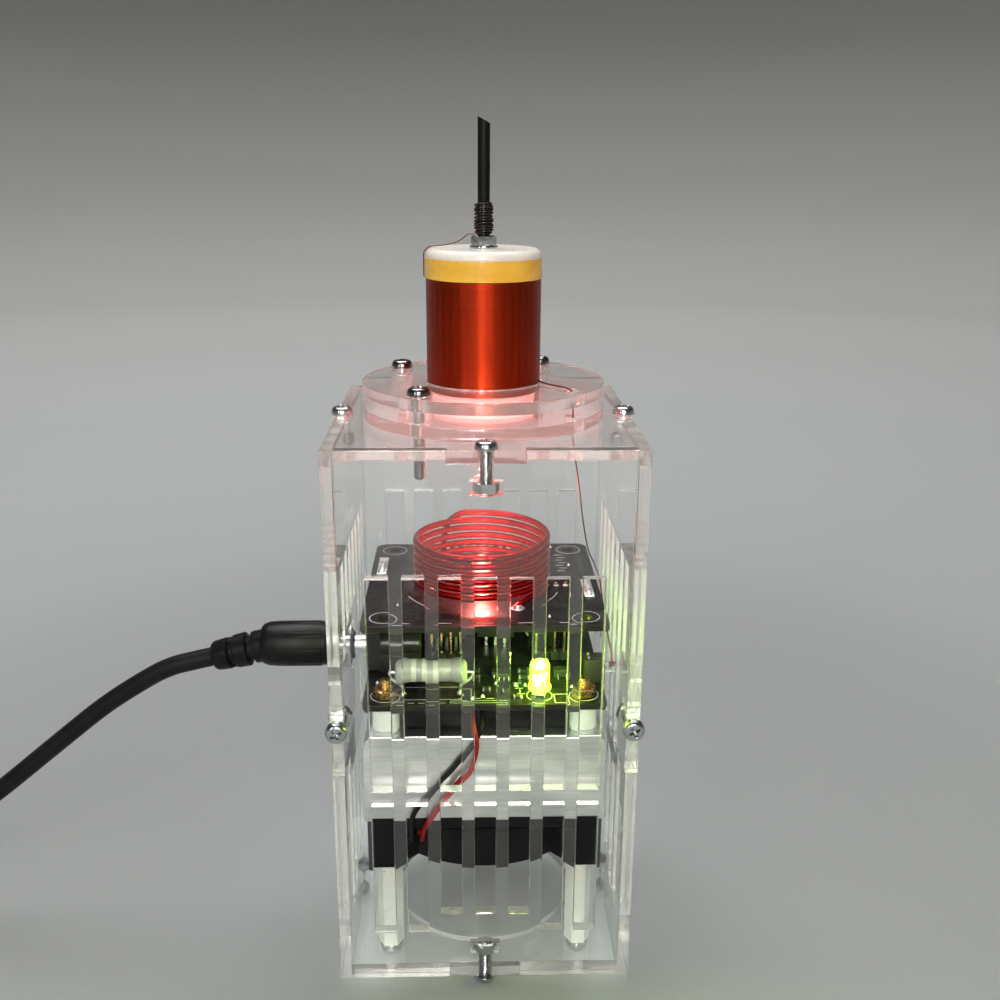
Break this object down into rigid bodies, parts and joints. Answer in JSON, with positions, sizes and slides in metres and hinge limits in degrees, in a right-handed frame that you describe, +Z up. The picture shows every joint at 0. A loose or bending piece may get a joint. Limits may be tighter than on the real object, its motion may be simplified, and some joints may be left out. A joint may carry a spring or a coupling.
{
  "type": "desktop resonant transformer",
  "caption": "Clear slotted case with a fan, heat sink and two boards under a flat red coil; a wound column with a discharge rod stands on top, and a supply lead leaves on the left.",
  "frame": {"origin": "on the table under the middle of the case, between the screw heads that it stands on", "axes": "+Z up along the winding and the discharge rod, +X to the right, -Y out of the front wall"},
  "size_m": [0.2786, 0.1041, 0.2161],
  "materials": {
    "clear_acrylic": "clear laser-cut acrylic sheet with polished edges",
    "zinc_steel": "bright zinc-plated steel, slightly worn",
    "brass": "turned brass",
    "white_nylon": "translucent white nylon",
    "fan_black": "black moulded fan plastic",
    "copper_coil": "enamelled copper windings of the fan motor",
    "magnet": "plastic-bonded magnet",
    "polished_steel": "ground steel shaft",
    "sink_aluminium": "plain sawn and milled aluminium",
    "fan_lead_red": "red and black insulated stranded wire",
    "board_black": "black solder mask with white print",
    "header_black": "black header strips with plated pins",
    "jack_black": "black moulded jack",
    "resistor_grey": "grey cement coat with plain bands",
    "light_green": "clear yellow-green light",
    "package_black": "black moulded component packages",
    "capacitor_black": "dark capacitor sleeve",
    "solder": "tinned pads",
    "primary_red": "solid wire in glossy red insulation",
    "light_red": "clear red light",
    "tube_white": "white plastic tube",
    "enamelled_copper": "fine enamelled copper wire, close wound",
    "yellow_tape": "yellow polyester insulating tape",
    "cap_white": "white moulded plastic",
    "rod_black": "steel rod in a black sleeve",
    "dark_wire": "thin enamelled wire",
    "cord_black": "black flexible cord jacket",
    "plug_black": "black moulded plug",
    "tie_grey": "dark hook-and-loop tie"
  },
  "bodies": {
    "root": {"bottom_plate": "clear_acrylic", "top_plate": "clear_acrylic", "front_panel": "clear_acrylic", "rear_panel": "clear_acrylic", "left_panel": "clear_acrylic", "right_panel": "clear_acrylic", "top_screws": "zinc_steel", "top_nuts": "zinc_steel", "bottom_screws": "zinc_steel", "bottom_nuts": "zinc_steel", "corner_screws": "zinc_steel", "corner_nuts": "zinc_steel", "hex_posts": "white_nylon", "post_screws": "zinc_steel", "fan_frame": "fan_black", "fan_bearing": "brass", "fan_stator": "copper_coil", "fan_lead": "fan_lead_red", "heat_sink": "sink_aluminium", "stack_studs": "brass", "stack_nuts": "brass", "board_spacers": "white_nylon", "lower_board": "board_black", "upper_board": "board_black", "board_headers": "header_black", "dc_jack": "jack_black", "power_resistor": "resistor_grey", "status_light": "light_green", "ground_terminal": "header_black", "power_transistors": "package_black", "film_capacitors": "package_black", "reservoir_capacitor": "capacitor_black", "board_chips": "package_black", "solder_pads": "solder", "primary_coil": "primary_red", "coil_light": "light_red", "lower_disc": "clear_acrylic", "upper_disc": "clear_acrylic", "disc_screws": "zinc_steel", "disc_spacers": "clear_acrylic", "winding_tube": "tube_white", "tube_foot": "tube_white", "secondary_winding": "enamelled_copper", "insulating_tape": "yellow_tape", "end_cap": "cap_white", "rod_nuts": "zinc_steel", "rod_washer": "zinc_steel", "discharge_rod": "rod_black", "rod_wrap": "dark_wire", "top_lead": "dark_wire", "ground_lead": "dark_wire"},
    "fan_rotor": {"fan_impeller": "fan_black", "fan_magnet": "magnet", "fan_shaft": "polished_steel"},
    "supply_lead": {"supply_plug": "plug_black", "supply_cord": "cord_black", "cord_coil": "cord_black", "cord_ties": "tie_grey", "cord_socket": "plug_black"}
  },
  "joints": [
    {"name": "fan_spin", "type": "hinge", "parent": "root", "child": "fan_rotor", "pos_m": [0, 0, 0.0375], "axis": [0, 0, 1], "continuous": true},
    {"name": "plug_pull", "type": "slide", "parent": "root", "child": "supply_lead", "axis": [-1, 0, 0], "range_m": [0, 0.0095]}
  ]
}
